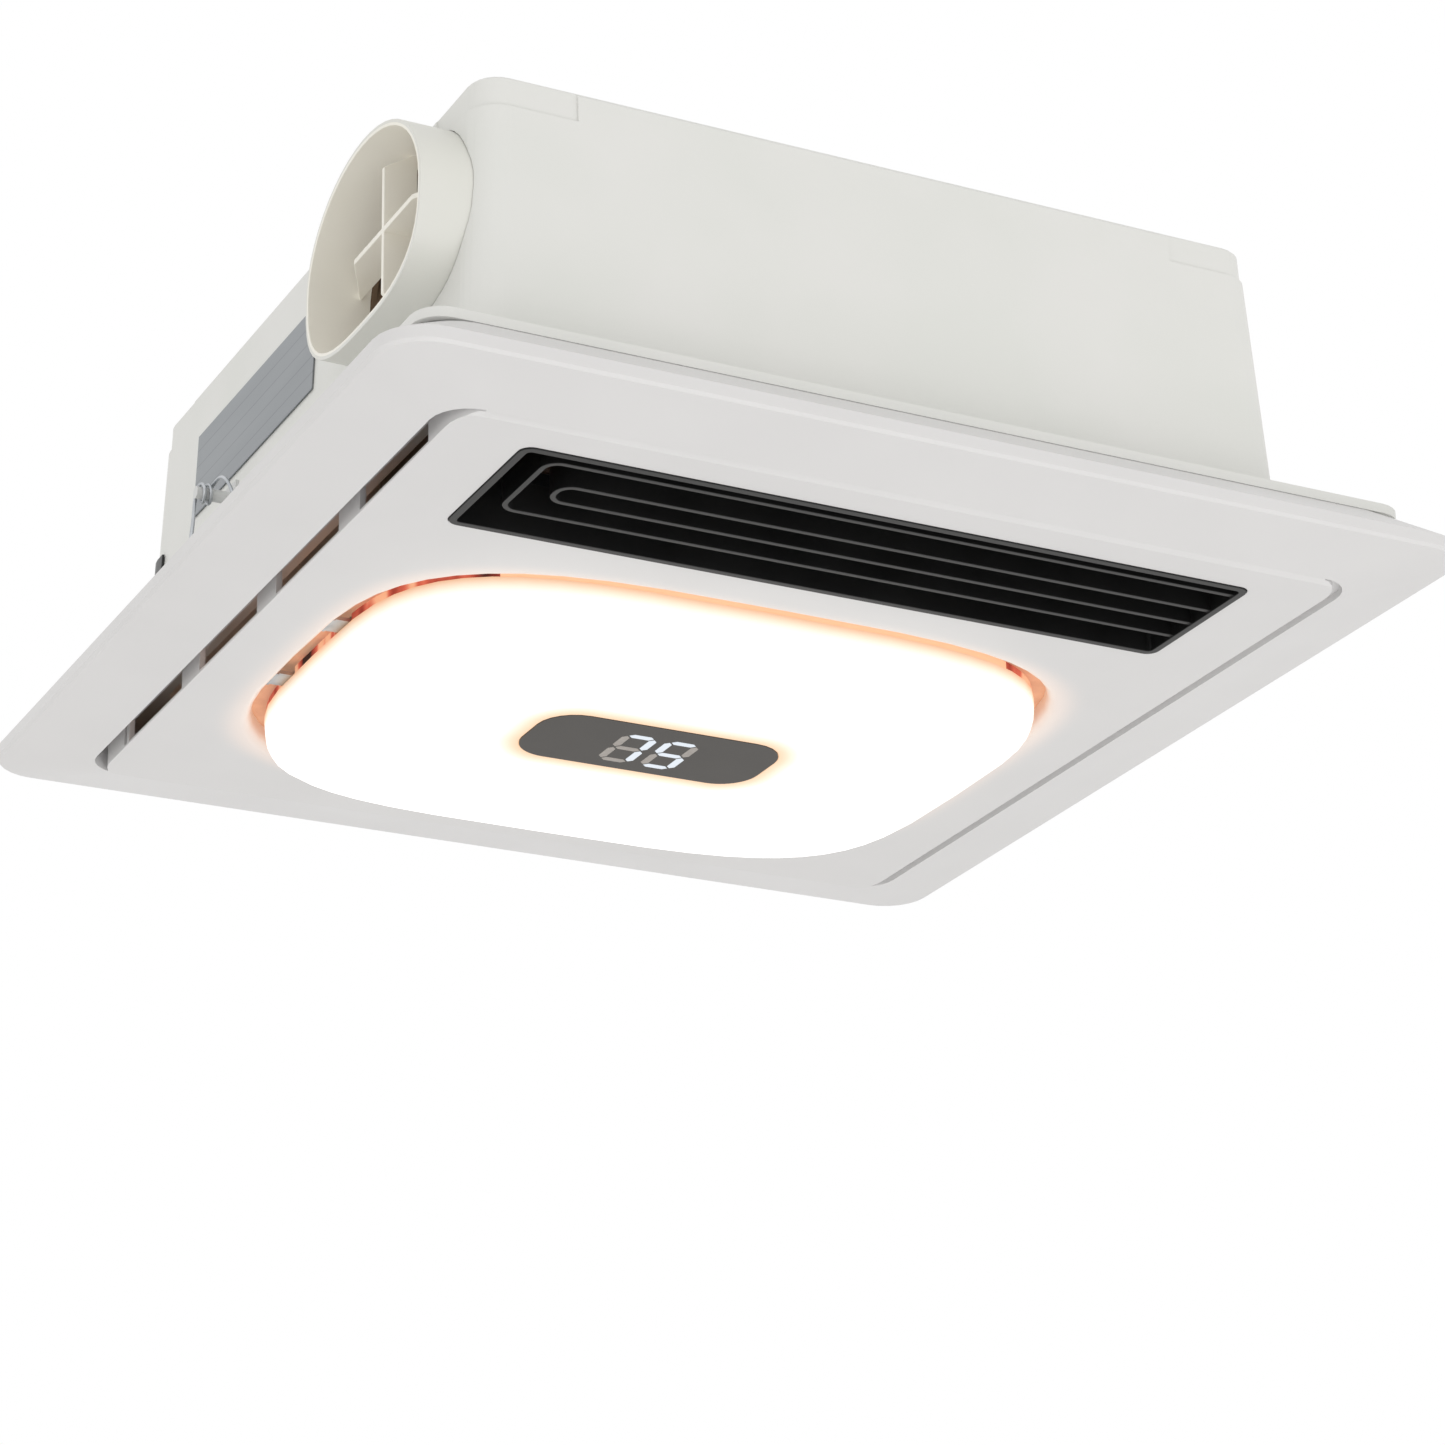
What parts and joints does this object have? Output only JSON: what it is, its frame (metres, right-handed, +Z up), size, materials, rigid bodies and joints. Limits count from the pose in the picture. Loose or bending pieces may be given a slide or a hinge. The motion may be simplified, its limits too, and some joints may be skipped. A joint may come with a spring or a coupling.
{
  "type": "bathroom ceiling heater",
  "caption": "Square ceiling heater with a blower, heated air outlet, exhaust duct spigot and a front panel on springs that carries a round-cornered lamp and a digit display.",
  "frame": {"origin": "middle of the mounting flange's top face, which lies against the ceiling", "axes": "+Z up into the ceiling, +X along the outlet grille's long side away from the exhaust spigot, +Y away from the grille"},
  "size_m": [0.45, 0.45, 0.1667],
  "materials": {
    "white_panel": "satin moulded",
    "white_housing": "satin moulded",
    "black_plastic": "satin moulded",
    "dark_plastic": "matt moulded",
    "brown_plastic": "matt moulded",
    "opal_plastic": "opal, lit from behind",
    "smoked_plastic": "gloss",
    "zinc_steel": "zinc plated",
    "aluminium": "mill",
    "silver_label": "silver film",
    "green_laminate": "solder mask",
    "white_laminate": "white solder mask",
    "yellow_tape": "tape",
    "blue_plastic": "gloss moulded"
  },
  "bodies": {
    "housing": {"housing_shell": "white_housing", "mounting_flange": "white_housing", "exhaust_spigot": "white_housing", "rating_label": "silver_label", "cable_gland": "black_plastic", "gland_nut": "black_plastic", "spring_bracket_left": "zinc_steel", "spring_bracket_right": "zinc_steel", "panel_spring_left": "zinc_steel", "panel_spring_right": "zinc_steel", "blower_scroll": "dark_plastic", "inlet_ring": "white_housing", "fan_motor": "zinc_steel", "motor_plate": "zinc_steel", "outlet_duct": "brown_plastic", "heater_frame": "brown_plastic", "heating_element_1": "aluminium", "heating_element_2": "aluminium", "thermal_cutout": "black_plastic", "damper_motor": "zinc_steel", "control_box_base": "zinc_steel", "control_box_cover": "zinc_steel", "cover_screw_1": "zinc_steel", "cover_screw_2": "zinc_steel", "control_board": "green_laminate", "transformer": "yellow_tape", "relay_1": "blue_plastic", "relay_2": "blue_plastic", "terminal_block": "white_housing", "motor_capacitor": "dark_plastic", "ion_generator": "black_plastic", "corner_pad": "black_plastic"},
    "wheel": {"impeller": "dark_plastic", "impeller_shaft": "zinc_steel"},
    "damper": {"damper_flap": "black_plastic", "damper_shaft": "zinc_steel"},
    "panel": {"front_panel": "white_panel", "outlet_grille": "black_plastic", "lamp_diffuser": "opal_plastic", "display_window": "smoked_plastic", "display_board": "dark_plastic", "display_shroud": "dark_plastic", "lamp_tray": "aluminium", "led_board": "white_laminate", "led_driver": "white_housing", "lamp_bridge_near": "zinc_steel", "lamp_bridge_far": "zinc_steel", "spring_hook_left": "zinc_steel", "spring_hook_right": "zinc_steel"}
  },
  "joints": [
    {"name": "impeller_spin", "type": "hinge", "parent": "housing", "child": "wheel", "pos_m": [0, 0.045, 0.07], "axis": [0, 0, 1], "continuous": true},
    {"name": "damper_turn", "type": "hinge", "parent": "housing", "child": "damper", "pos_m": [-0.1415, -0.108, 0.1105], "axis": [0, 1, 0], "range_deg": [0, 88]},
    {"name": "panel_drop", "type": "slide", "parent": "housing", "child": "panel", "axis": [0, 0, 1], "range_m": [-0.06, 0], "stiffness_N_per_m": 200, "springref_m": 0.12, "deforming": ["panel_spring_left", "panel_spring_right"]}
  ]
}
